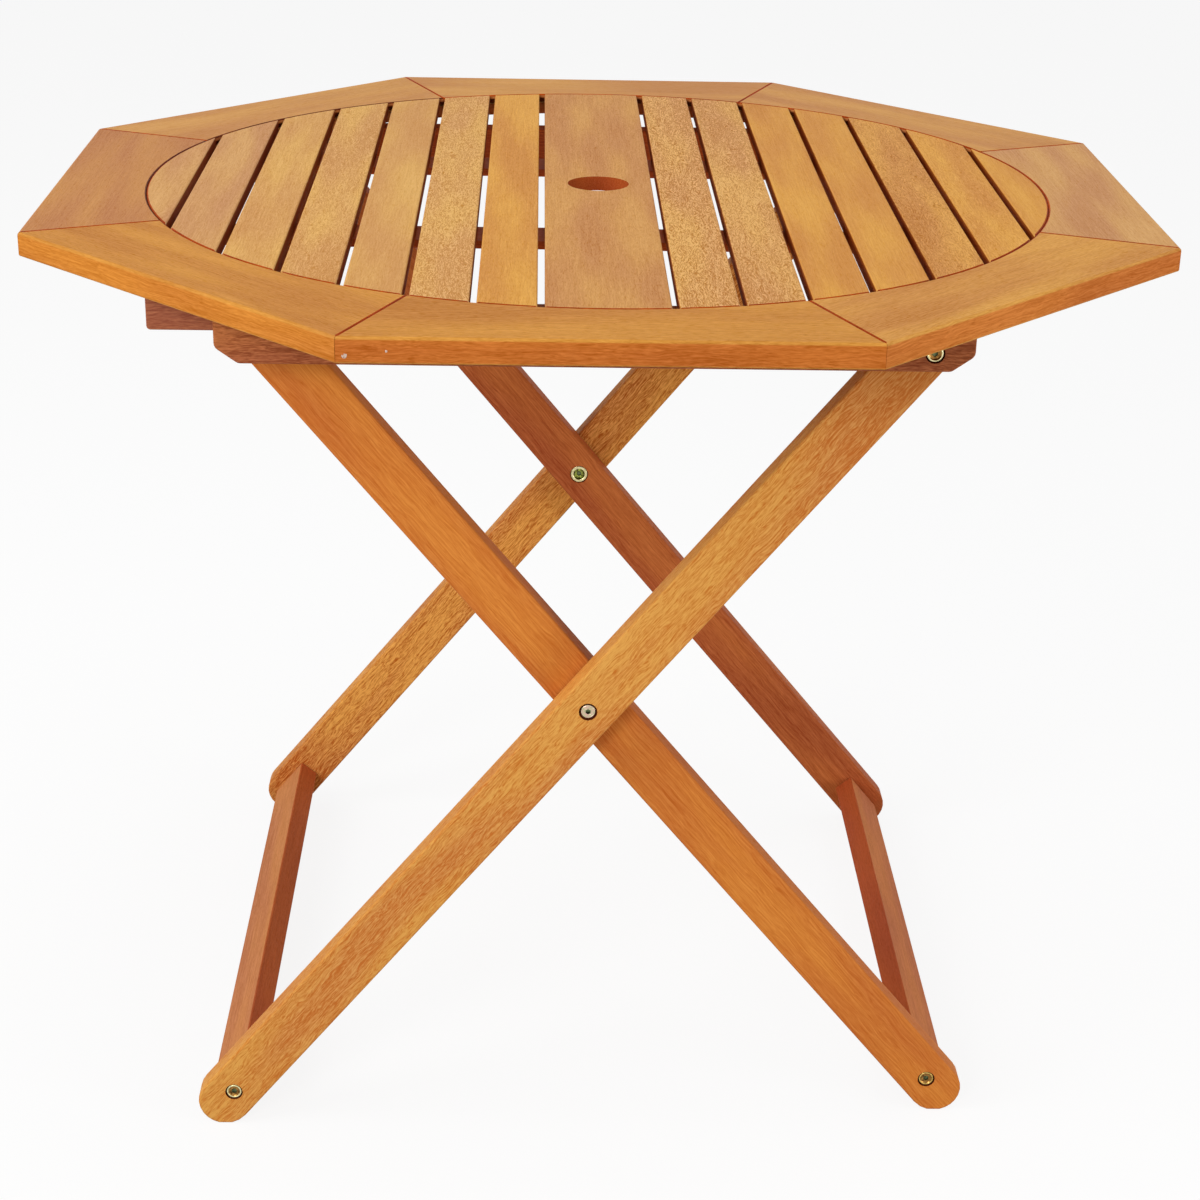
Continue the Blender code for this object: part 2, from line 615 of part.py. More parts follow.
def block_screw_places():
    """Two screws through the thick end of each stop block."""
    insets = (BLOCK_SCREW_INSET, BLOCK_SCREW_INSET + BLOCK_SCREW_SPACING)
    return [(BLOCK_LEFT + inset, sign * BLOCK_MIDDLE) for inset in insets for side, sign in SIDES]


def build_table():
    outer_frame = add_pivot("outer_frame", CROSSING)
    inner_frame = add_pivot("inner_frame", CROSSING, outer_frame)
    tabletop = add_pivot("tabletop", OUTER_HEAD, outer_frame)

    trim, groove = opening_cutters()
    add_border(tabletop, groove)
    add_slats(tabletop, trim)
    add_battens(tabletop, trim)

    top_pivot_space = pivot_space("top_pivot_space", OUTER_HEAD, RAIL_OUTSIDE, OUTER_LEG_INSIDE)
    add_rails(tabletop, top_pivot_space,
              screw_holes("rail_screw_holes", rail_screw_places(), CARRIER_TOP - RAIL_HEIGHT))
    add_stop_blocks(tabletop,
                    screw_holes("block_screw_holes", block_screw_places(), CARRIER_TOP - BLOCK_HEIGHT))

    crossing_space = pivot_space("crossing_space", CROSSING, OUTER_LEG_OUTSIDE, INNER_LEG_INSIDE)
    outer_foot_space = foot_space("outer_foot_space", OUTER_FOOT_BOLT, OUTER_LEG_OUTSIDE, OUTER_LEG_INSIDE)
    add_legs("outer", outer_frame, OUTER_FOOT, OUTER_HEAD, OUTER_ALONG, OUTER_LEG_INSIDE,
             (HONEY, AMBER), (top_pivot_space, crossing_space, outer_foot_space))
    add_stretcher("outer_stretcher", outer_frame, OUTER_FOOT_BOLT, OUTER_ALONG, OUTER_LEG_INSIDE,
                  outer_foot_space)

    inner_foot_space = foot_space("inner_foot_space", INNER_FOOT_BOLT, INNER_LEG_OUTSIDE, INNER_LEG_INSIDE)
    add_legs("inner", inner_frame, INNER_FOOT, INNER_HEAD, INNER_ALONG, INNER_LEG_INSIDE,
             (RUSSET, UMBER), (crossing_space, inner_foot_space, crossbar_socket()))
    add_stretcher("inner_stretcher", inner_frame, INNER_FOOT_BOLT, INNER_ALONG, INNER_LEG_INSIDE,
                  inner_foot_space)
    add_crossbar(inner_frame)

    add_pivot_fittings("top_pivot", OUTER_HEAD, outer_frame, RAIL_OUTSIDE, OUTER_LEG_INSIDE,
                       OUTER_LEG_OUTSIDE + TOUCH, RAIL_WASHER)
    add_pivot_fittings("crossing", CROSSING, outer_frame, OUTER_LEG_OUTSIDE, INNER_LEG_INSIDE,
                       INNER_LEG_OUTSIDE + TOUCH, CROSSING_WASHER)
    add_foot_fittings("outer", OUTER_FOOT_BOLT, outer_frame, OUTER_LEG_OUTSIDE, OUTER_LEG_INSIDE, ZINC)
    add_foot_fittings("inner", INNER_FOOT_BOLT, inner_frame, INNER_LEG_OUTSIDE, INNER_LEG_INSIDE, BRASS)


for old in list(bpy.data.objects):
    bpy.data.objects.remove(old, do_unlink=True)
build_table()
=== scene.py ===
# %% [markdown]
# # A folding octagonal garden table: finish, light and camera
# The table arrives as a fixed frame of solid pieces, each at its real size and place.
# This lesson gives the pieces what a joiner and an oiler would: eased edges, oiled wood whose
# grain runs along each board, plated bolts and wood screws. Everything is in metres, with Z up.

# %% Load the frame
import json
import math

import bmesh
import bpy
from mathutils import Matrix, Vector

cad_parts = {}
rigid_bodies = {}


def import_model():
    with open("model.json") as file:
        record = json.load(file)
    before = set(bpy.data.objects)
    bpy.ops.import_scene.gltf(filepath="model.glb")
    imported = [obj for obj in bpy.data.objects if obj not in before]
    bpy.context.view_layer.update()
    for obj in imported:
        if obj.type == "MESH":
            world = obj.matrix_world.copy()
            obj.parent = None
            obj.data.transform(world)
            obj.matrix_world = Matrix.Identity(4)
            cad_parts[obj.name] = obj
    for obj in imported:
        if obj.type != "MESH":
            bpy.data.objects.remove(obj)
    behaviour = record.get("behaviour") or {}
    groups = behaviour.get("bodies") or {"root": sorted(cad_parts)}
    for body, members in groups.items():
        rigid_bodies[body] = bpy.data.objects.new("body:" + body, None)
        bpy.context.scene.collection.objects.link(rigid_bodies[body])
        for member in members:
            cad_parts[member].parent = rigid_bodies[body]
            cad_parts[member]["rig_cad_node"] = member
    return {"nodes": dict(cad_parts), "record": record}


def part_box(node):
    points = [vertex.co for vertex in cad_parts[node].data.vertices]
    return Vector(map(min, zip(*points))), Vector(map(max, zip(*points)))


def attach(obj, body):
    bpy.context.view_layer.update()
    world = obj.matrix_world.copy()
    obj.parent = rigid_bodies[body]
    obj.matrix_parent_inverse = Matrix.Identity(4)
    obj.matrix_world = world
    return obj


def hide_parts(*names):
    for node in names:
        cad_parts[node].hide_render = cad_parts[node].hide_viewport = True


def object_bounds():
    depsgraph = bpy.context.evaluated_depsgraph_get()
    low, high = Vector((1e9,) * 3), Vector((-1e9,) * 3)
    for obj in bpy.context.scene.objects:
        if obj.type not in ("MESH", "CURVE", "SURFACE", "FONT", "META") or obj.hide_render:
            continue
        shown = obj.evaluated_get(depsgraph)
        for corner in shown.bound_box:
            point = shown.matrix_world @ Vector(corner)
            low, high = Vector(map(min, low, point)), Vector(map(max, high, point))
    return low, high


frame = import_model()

MM = 0.001
frame_low, frame_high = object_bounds()
print("The frame holds", len(frame["nodes"]), "pieces, from", frame_low, "to", frame_high)

# %% [markdown]
# ## Colours and nodes
# A colour is written as an sRGB hex value, but a shader adds up light, which is linear.
# One function turns the first into the second, and all colours below go through it.
# A second small function adds a node, sets its values and links its inputs, so that a material
# reads as a list of steps.

# %% Helpers for materials
WHITE = "#FFFFFF"


def linear(colour):
    """The linear RGBA of an sRGB hex value such as "#C98B4E"."""
    shares = [int(colour[at:at + 2], 16) / 255 for at in (1, 3, 5)]
    return [s / 12.92 if s <= 0.04045 else ((s + 0.055) / 1.055) ** 2.4 for s in shares] + [1]


def add(material, kind, settings=None, **inputs):
    """Adds a node. A value that is another node's socket becomes a link, any other is set.

    An input is named by its socket, with _ for a space, or in0, in1 … by its place. A Mix of
    two colours takes them at in6 and in7, and gives the result at outputs[2].
    """
    node = material.node_tree.nodes.new("ShaderNode" + kind)
    for name, value in (settings or {}).items():
        setattr(node, name, value)
    for name, value in inputs.items():
        socket = node.inputs[int(name[2:]) if name[2:].isdigit() else name.replace("_", " ")]
        if isinstance(value, bpy.types.NodeSocket):
            material.node_tree.links.new(value, socket)
        else:
            socket.default_value = value
    return node


def new_material(name):
    """A material that has no nodes yet."""
    material = bpy.data.materials.new(name)
    material.use_nodes = True
    material.node_tree.nodes.clear()
    return material


print("Mid grey in linear light:", [round(c, 3) for c in linear("#808080")])

# %% [markdown]
# ## The camera
# The picture was taken with a long lens, from in front of the table and a little above its top.
# The camera is placed by its position and three turns, and its lens follows from how many
# pixels wide a metre looks at a metre's distance, in an image 1200 pixels wide.

# %% Place the camera
IMAGE_WIDTH = 1200                       # pixels
FOCAL_LENGTH = 2449.4                    # pixels
CAMERA_PLACE = Vector((-0.0504, -2.0359, 1.2227))
CAMERA_TURN = 0.0291                     # radians towards +X
CAMERA_TILT = -0.4011                    # radians, downwards
CAMERA_ROLL = 0.0210                     # radians

camera = bpy.data.objects.new("camera", bpy.data.cameras.new("camera"))
bpy.context.scene.collection.objects.link(camera)
camera.data.lens = camera.data.sensor_width * FOCAL_LENGTH / IMAGE_WIDTH
camera.matrix_world = (
    Matrix.Translation(CAMERA_PLACE)
    @ Matrix.Rotation(-CAMERA_TURN, 4, "Z")
    @ Matrix.Rotation(math.pi / 2 + CAMERA_TILT, 4, "X")
    @ Matrix.Rotation(CAMERA_ROLL, 4, "Z")
)
bpy.context.scene.camera = camera
print("The lens is", round(camera.data.lens, 2), "mm")

# %% [markdown]
# ## The white paper
# The table stands on seamless white paper, with white all round. The floor is a real surface,
# so that it throws light up under the top and holds a soft shadow. Where the camera or a
# reflection sees it, most of it is made plain white, and the rest shows the shadow.

# %% Lay the paper and the white surroundings
FLOOR_SIZE = 40.0
FLOOR_SHADOW_SHARE = 0.12                # how much of the floor's own light and shade shows
PAPER_SEEN = "#F4F4F4"                   # the paper's colour to the eye
PAPER_BOUNCE = "#BCBCBC"                 # and to the table, which it lights from below
SKY_STRENGTH = 0.40                      # of the light from all round


def seen_share(material):
    """1 where the camera sees the surface, also in a reflection or through glass, and else 0."""
    rays = add(material, "LightPath").outputs
    seen = rays["Is Camera Ray"]
    for other_way in ("Is Glossy Ray", "Is Transmission Ray"):
        seen = add(material, "Math", {"operation": "ADD", "use_clamp": True}, in0=seen,
                   in1=rays[other_way]).outputs[0]
    return seen


bpy.ops.mesh.primitive_plane_add(size=FLOOR_SIZE, location=(0, 0, frame_low[2]))
floor = bpy.context.object
floor.name = "studio_floor"

paper = new_material("white studio paper")
seen = seen_share(paper)
white_share = add(paper, "Math", {"operation": "MULTIPLY"}, in0=seen,
                  in1=1 - FLOOR_SHADOW_SHARE).outputs[0]
paper_colour = add(paper, "Mix", {"data_type": "RGBA"}, in0=seen, in6=linear(PAPER_BOUNCE),
                   in7=linear(PAPER_SEEN)).outputs[2]
matt = add(paper, "BsdfDiffuse", Color=paper_colour).outputs[0]
glow = add(paper, "Emission", Color=linear(WHITE), Strength=1.0).outputs[0]
mixed = add(paper, "MixShader", in0=white_share, in1=matt, in2=glow).outputs[0]
add(paper, "OutputMaterial", Surface=mixed)
floor.data.materials.append(paper)

world = bpy.data.worlds.new("white studio")
bpy.context.scene.world = world
world.use_nodes = True
world.node_tree.nodes.clear()
strength = add(world, "MapRange", Value=seen_share(world), To_Min=SKY_STRENGTH,
               To_Max=1.0).outputs[0]
sky = add(world, "Background", Color=linear(WHITE), Strength=strength).outputs[0]
add(world, "OutputWorld", Surface=sky)
print("Paper laid,", FLOOR_SIZE, "m wide")

# %% [markdown]
# ## The light
# Large soft boxes give the even light of a product picture: a key light from the left, one
# beside the camera, a weak one from the low right for the legs, and one above the top. They
# are just strong enough that a colour renders about as it is written.

# %% Hang the soft boxes
def soft_box(name, place, aim, size, power):
    """A square area lamp at a place, turned towards a point."""
    lamp = bpy.data.objects.new(name, bpy.data.lights.new(name, "AREA"))
    lamp.data.shape = "SQUARE"
    lamp.data.size = size
    lamp.data.energy = power
    lamp.location = place
    lamp.rotation_euler = (Vector(aim) - Vector(place)).to_track_quat("-Z", "Y").to_euler()
    bpy.context.scene.collection.objects.link(lamp)


soft_box("key_light", place=(-3.0, -1.2, 2.3), aim=(0, 0, 0.5), size=2.0, power=66)
soft_box("front_light", place=(-1.4, -3.4, 2.0), aim=(0, 0, 0.4), size=1.2, power=50)
soft_box("side_light", place=(2.8, -1.6, 0.7), aim=(0, 0, 0.4), size=1.2, power=33)
soft_box("top_light", place=(0.6, 0.3, 3.0), aim=(0, 0, 0.7), size=2.4, power=22)
bpy.context.scene.view_settings.view_transform = "Standard"

# %% [markdown]
# ## From solids to finished boards
# The frame's solids are loose triangles with hard facets. A board could be modelled anew, but
# a copy keeps every size, hole and notch. So each wooden piece is copied, its triangles are
# merged into whole faces, and its rounded arrises are shaded smooth. Weighted normals keep the
# broad faces flat while the arrises roll over. The copy replaces the solid and rides on the
# same body, so it folds with it.

# %% Copy a solid and make it whole
MERGE_DISTANCE = 0.001 * MM
FLAT_ANGLE = math.radians(0.6)           # faces that meet at less than this are one flat face
SMOOTH_ANGLE = math.radians(50)          # and at less than this they are shaded as one round

body_of = {node: body for body, nodes in frame["record"]["behaviour"]["bodies"].items()
           for node in nodes}
slot_of = {node: solid.data.materials[0].name for node, solid in frame["nodes"].items()}


def select_only(piece):
    """Selects one piece and nothing else, so that an operator acts on it alone."""
    bpy.ops.object.select_all(action="DESELECT")
    piece.select_set(True)
    bpy.context.view_layer.objects.active = piece


def stand_for(piece, node):
    """The piece takes a solid's place and body, and the solid is hidden."""
    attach(piece, body_of[node])
    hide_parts(node)


def whole_copy(node):
    """A copy of a solid whose triangles are merged into whole faces."""
    select_only(frame["nodes"][node])
    bpy.ops.object.duplicate()
    piece = bpy.context.object
    piece.name = node + "_board"
    del piece["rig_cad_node"]             # the copy is a new piece, not the solid itself
    bpy.ops.mesh.customdata_custom_splitnormals_clear()
    bpy.ops.object.mode_set(mode="EDIT")
    bpy.ops.mesh.select_all(action="SELECT")
    bpy.ops.mesh.remove_doubles(threshold=MERGE_DISTANCE)
    bpy.ops.mesh.dissolve_limited(angle_limit=FLAT_ANGLE)
    bpy.ops.object.mode_set(mode="OBJECT")
    stand_for(piece, node)
    return piece


def smooth(piece):
    """Smooth shading that leaves broad faces flat."""
    select_only(piece)
    bpy.ops.object.shade_smooth_by_angle(angle=SMOOTH_ANGLE)
    bpy.ops.object.modifier_add(type="WEIGHTED_NORMAL")
    piece.modifiers[-1].keep_sharp = True
    bpy.ops.object.modifier_apply(modifier=piece.modifiers[-1].name)


print("Slots:", sorted(set(slot_of.values())))

# %% [markdown]
# ## Eased joints
# Where two boards of the top meet, their arrises are broken with one stroke of sandpaper.
# Each joint is then a narrow V in which oil gathers and darkens, and that is what draws the
# octagon's mitres and the circle of the slats in the picture. The edges to ease are found by
# their place: both ends lie on the table's top, and the faces there meet at a sharp angle.
# The bevel gives its new faces the board's second material slot, which gets the dark finish.

# %% Ease the joints of the top
TABLE_TOP = frame_high[2]
JOINT_EASE = 1.25 * MM
DARK_WOOD_SLOT = 1                                # the material slot of the dark wood: oil in the joints, oil and painted shade in the bores
SHARP_ANGLE = math.radians(60)
POLE_HOLE_REACH = 30 * MM                # a little more than the pole hole's radius


def is_joint_edge(edge):
    """Whether an edge is a sharp one on the table's top. The pole hole's rim is not a joint."""
    at_top = all(abs(corner.co.z - TABLE_TOP) < MERGE_DISTANCE for corner in edge.verts)
    at_hole = all(math.hypot(*corner.co.xy) < POLE_HOLE_REACH for corner in edge.verts)
    is_sharp = len(edge.link_faces) == 2 and edge.calc_face_angle() > SHARP_ANGLE
    return at_top and is_sharp and not at_hole


def ease_joints(board):
    """Bevels the joint edges of a board. Returns how many there were."""
    select_only(board)
    bpy.ops.object.mode_set(mode="EDIT")
    bpy.ops.mesh.select_mode(type="EDGE")
    bpy.ops.mesh.select_all(action="DESELECT")
    mesh = bmesh.from_edit_mesh(board.data)
    joint_edges = [edge for edge in mesh.edges if is_joint_edge(edge)]
    for edge in joint_edges:
        edge.select_set(True)
    bmesh.update_edit_mesh(board.data)
    if joint_edges:
        bpy.ops.mesh.bevel(offset=JOINT_EASE, segments=2, affect="EDGES", clamp_overlap=False,
                           material=DARK_WOOD_SLOT)
    bpy.ops.object.mode_set(mode="OBJECT")
    return len(joint_edges)


boards = {node: whole_copy(node) for node, slot in slot_of.items() if slot.endswith("wood")}
top_boards = [node for node in boards if node.startswith(("border", "slat", "centre"))]
for board in boards.values():
    board.data.materials.append(None)    # the slot for the dark wood of joints and bores, which goes on later
eased = sum(ease_joints(boards[node]) for node in top_boards)
for board in boards.values():
    smooth(board)
print(len(boards), "boards;", eased, "joint edges eased")

# %% [markdown]
# ## Bores
# A drilled hole shows end grain, which soaks up far more oil than a planed face, and its depth
# lies in shade. Its wood is painted nearly black for both, and that draws the dark ring round
# a bolt's head. The bores' faces are found by their place: all their corners lie close to the
# axis of a hole.

# %% Mark the bolts' bores for the dark wood that paints their shade
BOLT_BORE = 9.0 * MM                     # a little more than the widest counterbore's radius


def middle(node):
    """The middle of a solid's box."""
    low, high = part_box(node)
    return (Vector(low) + Vector(high)) / 2


def mark_bore(board, axis, across, reach):
    """Gives the faces round an axis the dark slot, whose wood paints a bore's shade. Returns how
    many there are.

    axis is any point on the axis, and across holds the two directions that are square to it,
    with 0 for X, 1 for Y and 2 for Z.
    """
    corners = board.data.vertices
    faces = [face for face in board.data.polygons
             if all(math.hypot(*(corners[at].co[way] - axis[way] for way in across)) < reach
                    for at in face.vertices)]
    for face in faces:
        face.material_index = DARK_WOOD_SLOT
    return len(faces)


bolts = [node for node in frame["nodes"] if "_bolt_" in node]
bored = [board for node, board in boards.items() if "_leg_" in node or node.startswith("rail")]
marked = sum(mark_bore(board, middle(bolt), (0, 2), BOLT_BORE)
             for board in bored for bolt in bolts)
print(marked, "faces of bolt holes marked")

# %% [markdown]
# ## Oiled hardwood: its grain
# The wood is a light tropical hardwood, planed, sanded and oiled. Close up, such a board has
# four things laid over each other: slow changes of tone along its length, thin growth streaks,
# short flecks where the pores are cut open, and, where the grain is interlocked, flecks that
# wave up and down. The first three are noises, stretched along the board, and a fourth noise
# pushes the streaks and flecks sideways. All take places measured from the board's middle,
# with X along its grain, so that the same functions serve every board.

# %% The patterns of the grain
WAVE = (34 * MM, 12 * MM)                # length and width of a wave of the grain
ZONE = (210 * MM, 34 * MM)               # of a slow change of tone
STREAK = (60 * MM, 1.2 * MM)             # of a growth streak
FLECK = (6 * MM, 0.65 * MM)              # of a pore, drawn wider than it is so that it shows


def waved(material, place, shift, figure):
    """Places on the board, pushed sideways by up to half the figure, in mm."""
    length, width = WAVE
    at = add(material, "Mapping", Vector=place, Location=(shift, shift, shift),
             Scale=(1 / length, 1 / width, 1 / width)).outputs[0]
    wave = add(material, "TexNoise", Vector=at, Scale=1.0, Detail=1.0).outputs["Color"]
    wave = add(material, "VectorMath", {"operation": "SUBTRACT"}, in0=wave,
               in1=(0.5, 0.5, 0.5)).outputs[0]
    wave = add(material, "VectorMath", {"operation": "MULTIPLY"}, in0=wave,
               in1=(0, figure * MM, figure * MM)).outputs[0]
    return add(material, "VectorMath", {"operation": "ADD"}, in0=place, in1=wave).outputs[0]


def grain_patterns(material, place, shift, figure):
    """The zones, streaks and flecks. Each is a noise from 0 to 1 of its own length and width."""
    grain = waved(material, place, shift, figure)
    patterns = []
    for source, (length, width), detail in ((place, ZONE, 1.0), (grain, STREAK, 2.0),
                                            (grain, FLECK, 1.0)):
        at = add(material, "Mapping", Vector=source, Location=(shift, -shift, shift),
                 Scale=(1 / length, 1 / width, 1 / width)).outputs[0]
        patterns.append(add(material, "TexNoise", Vector=at, Scale=1.0,
                            Detail=detail).outputs[0])
    return patterns


print("A streak is", STREAK[1] / MM, "mm wide and a fleck", FLECK[1] / MM, "mm")

# %% [markdown]
# ## Oiled hardwood: its colour
# Each board has a tone with a dark and a light end, and the patterns add up to where its
# colour lies between them. The share of each pattern is how strongly it shows. Boards also
# turn more golden or more pink from zone to zone. The sides are left as the saw cut them and
# drink more oil than the planed and sanded faces, so they have more streaks and a deeper
# colour. The tints that deepen it also paint the shade that falls on sides and faces. finished,
# below, is 1 on the finished faces and 0 on the sides.

# %% The colour of a board
ZONE_SHARE, STREAK_SHARE, FLECK_SHARE = 1.0, 2.0, 4.2
STEADY_STREAKS = 0.3                     # the streaks of a board whose pores don't show
SAWN_STREAKS = 0.7                       # how much more the streaks show on sawn sides
HUE_LEVELS = (0.38, 0.62)                # the zone pattern's values at full pink and full gold
# How many times as much red, green and blue
GOLDEN_ZONE, PINK_ZONE = (1.02, 1.04, 0.93, 1), (0.98, 0.96, 1.07, 1)


def tone_share(material, patterns, finished, flecks):
    """Where the colour lies in the board's tone, from 0 for dark to 1 for light."""
    shares = (ZONE_SHARE, STREAK_SHARE * (STEADY_STREAKS + flecks), FLECK_SHARE * flecks)
    share = 0.5 - 0.5 * sum(shares)
    for pattern, strength in zip(patterns, shares):
        share = add(material, "Math", {"operation": "MULTIPLY_ADD"}, in0=pattern,
                    in1=strength, in2=share).outputs[0]
    streak = add(material, "Math", {"operation": "SUBTRACT"}, in0=patterns[1],
                 in1=0.5).outputs[0]
    sawn_streaks = add(material, "MapRange", Value=finished, To_Min=SAWN_STREAKS,
                       To_Max=0.0).outputs[0]
    return add(material, "Math", {"operation": "MULTIPLY_ADD"}, in0=streak, in1=sawn_streaks,
               in2=share).outputs[0]


def board_colour(material, patterns, finished, flecks, tone, side_tint, face_tint):
    """The tone, its change of hue from zone to zone, and the tints of sides and faces."""
    dark, light = (linear(colour) for colour in tone)
    share = tone_share(material, patterns, finished, flecks)
    colour = add(material, "Mix", {"data_type": "RGBA"}, in0=share, in6=dark,
                 in7=light).outputs[2]
    golden = add(material, "MapRange", Value=patterns[0], From_Min=HUE_LEVELS[0],
                 From_Max=HUE_LEVELS[1]).outputs[0]
    hue = add(material, "Mix", {"data_type": "RGBA"}, in0=golden, in6=PINK_ZONE,
              in7=GOLDEN_ZONE).outputs[2]
    tint = add(material, "Mix", {"data_type": "RGBA"}, in0=finished, in6=linear(side_tint),
               in7=linear(face_tint)).outputs[2]
    for change in (hue, tint):
        colour = add(material, "Mix", {"data_type": "RGBA", "blend_type": "MULTIPLY"},
                     in0=1.0, in6=colour, in7=change).outputs[2]
    return colour


print("Shares of zones, streaks and flecks:", ZONE_SHARE, STREAK_SHARE, FLECK_SHARE)

# %% [markdown]
# ## Oiled hardwood: the whole material
# Oil soaks in and leaves little film, so the wood has a low satin gloss. A sawn side is
# rougher than a sanded face, and an open pore is rougher still and lies a little deeper. A
# Mapping node puts the board's middle at the origin and its grain along X. Which face a point
# is on comes from its normal, compared with the way that the finished faces look.

# %% A function for one board's wood
SANDED, SAWN, OPEN_PORE = 0.46, 0.72, 0.75           # roughness
OIL_SHINE = 0.025                        # specular level
PORE_DEPTH = 0.15 * MM
PORE_LEVELS = (0.42, 0.30)               # the fleck pattern's values at a pore's rim and floor
PORE_BUMP = 0.5
FINISHED_SLOPE = 0.4                     # the cosine from which a face is a finished one


def oiled_wood(name, tone, centre, turn, shift, figure, flecks, facing, side_tint, face_tint):
    """The wood of one board.

    tone holds its dark and light ends. centre and turn give the board's place and its grain,
    and shift moves the pattern, so that no two boards are alike. figure is how far the grain
    waves, in mm, and flecks is how strongly the pores show, from 0 to about 1. facing is the
    way that the board's finished faces look, and the tints multiply the colour on the sides
    and on those faces.
    """
    material = new_material(name)
    coordinates = add(material, "TexCoord").outputs
    place = add(material, "Mapping", {"vector_type": "TEXTURE"}, Vector=coordinates["Object"],
                Location=centre, Rotation=turn).outputs[0]
    slope = add(material, "VectorMath", {"operation": "DOT_PRODUCT"}, in0=coordinates["Normal"],
                in1=facing).outputs["Value"]
    slope = add(material, "Math", {"operation": "ABSOLUTE"}, in0=slope).outputs[0]
    # finished also picks the tints, which are partly painted shade
    finished = add(material, "MapRange", Value=slope, From_Min=0.0,
                   From_Max=FINISHED_SLOPE).outputs[0]

    patterns = grain_patterns(material, place, shift, figure)
    colour = board_colour(material, patterns, finished, flecks, tone, side_tint, face_tint)

    pore = add(material, "MapRange", Value=patterns[-1], From_Min=PORE_LEVELS[0],
               From_Max=PORE_LEVELS[1]).outputs[0]
    face = add(material, "MapRange", Value=finished, To_Min=SAWN, To_Max=SANDED).outputs[0]
    roughness = add(material, "MapRange", Value=pore, To_Min=face, To_Max=OPEN_PORE).outputs[0]
    relief = add(material, "Math", {"operation": "MULTIPLY"}, in0=pore, in1=-1.0).outputs[0]
    bump = add(material, "Bump", Strength=PORE_BUMP, Distance=PORE_DEPTH,
               Height=relief).outputs[0]
    wood = add(material, "BsdfPrincipled", Base_Color=colour, Roughness=roughness, Normal=bump,
               Specular_IOR_Level=OIL_SHINE).outputs[0]
    add(material, "OutputMaterial", Surface=wood)
    return material


print("A pore is", PORE_DEPTH / MM, "mm deep")

# %% [markdown]
# ## Which wood each piece has
# The boards were never matched, so the top is a mix of straw, honey and rosy boards and the
# legs differ too. A few named tones cover them all.

# %% The tones
TONES = {                                # the dark and the light end
    "honey": ("#BF7A2B", "#E0A552"),
    "straw": ("#C0853F", "#DFAE6A"),
    "rosy straw": ("#B67B43", "#D6A46E"),
    "figured": ("#B67833", "#E0AC6A"),
    "toffee": ("#B4722A", "#DDA256"),
    "rosy": ("#AC6C38", "#CA905A"),
    "tan": ("#B47638", "#D49D60"),
    "amber": ("#AE6C22", "#D49448"),
    "golden": ("#C36F2C", "#DEA155"),
    "burnt": ("#AE5A1E", "#E6A254"),
    "orange": ("#BA5F21", "#DB8B42"),
    "russet": ("#9A4620", "#C87240"),
    "umber": ("#8A4526", "#B4683C"),
    "mauve brown": ("#94523A", "#BC7650"),
    "walnut brown": ("#8C4A2A", "#BC7246"),
    "clay": ("#CA8A5A", "#E8AA7C"),
    "peach": ("#CC8A60", "#E8A076"),
    "rust": ("#964120", "#B8562A"),
    "joint": ("#822C06", "#B84A0E"),
    # bore: oiled end grain, and painted shade in the depth of a hole
    "bore": ("#4A1C0C", "#74341A"),
}

BOARDS = {                               # tone, figure in mm, strength of the pores
    "border_right": ("rosy straw", 4, 0.15),
    "border_rear_right": ("tan", 4, 0.15),
    "border_rear": ("tan", 3, 0.12),
    "border_rear_left": ("tan", 4, 0.15),
    "border_left": ("rosy", 4, 0.15),
    "border_front_left": ("amber", 5, 0.2),
    "border_front": ("amber", 7, 0.3),
    "border_front_right": ("toffee", 6, 0.2),
    "centre_plank": ("tan", 5, 0.25),
    "slat_left_1": ("honey", 4, 0.2),
    "slat_left_2": ("straw", 11, 1.0),
    "slat_left_3": ("straw", 5, 0.15),
    "slat_left_4": ("straw", 10, 0.5),
    "slat_left_5": ("straw", 5, 0.25),
    "slat_left_6": ("rosy straw", 5, 0.2),
    "slat_left_7": ("rosy straw", 6, 0.2),
    "slat_right_1": ("figured", 11, 1.2),
    "slat_right_2": ("figured", 13, 0.75),
    "slat_right_3": ("honey", 4, 0.12),
    "slat_right_4": ("honey", 4, 0.12),
    "slat_right_5": ("toffee", 12, 0.45),
    "slat_right_6": ("honey", 10, 0.3),
    "slat_right_7": ("honey", 4, 0.12),
    "batten_front": ("rust", 4, 0.3),
    "batten_rear": ("rust", 4, 0.3),
    "rail_front": ("walnut brown", 7, 0.5),
    "rail_rear": ("rust", 7, 0.5),
    "stop_block_front": ("mauve brown", 4, 0.4),
    "stop_block_rear": ("mauve brown", 4, 0.4),
    "outer_leg_front": ("golden", 8, 0.45),
    "outer_leg_rear": ("burnt", 9, 0.5),
    "inner_leg_front": ("orange", 5, 0.1),
    "inner_leg_rear": ("russet", 4, 0.15),
    "outer_stretcher": ("clay", 4, 0.3),
    "inner_stretcher": ("peach", 4, 0.3),
    "inner_crossbar": ("umber", 4, 0.4),
}
print(len(BOARDS), "boards of wood,", len(TONES), "tones")

# %% [markdown]
# ## Which way the grain runs
# A board is cut with its grain along its length. Slats and stretchers run front to back,
# rails and battens left to right. A border board runs along its side of the octagon, and a
# leg from its foot bolt to its other bolt, whose places the frame gives.

# %% The turn of each board
RING = ("right", "rear_right", "rear", "rear_left", "left", "front_left", "front",
        "front_right")                   # the border boards, an eighth of a turn apart
LEG_BOLTS = {"outer": ("outer_foot_bolt_front", "top_pivot_bolt_front"),
             "inner": ("inner_foot_bolt_front", "crossing_bolt_front")}


def leg_run(node):
    """The way up along the legs of the frame, outer or inner, that a piece belongs to."""
    foot_bolt, other_bolt = LEG_BOLTS[node.split("_")[0]]
    return (middle(other_bolt) - middle(foot_bolt)).normalized()


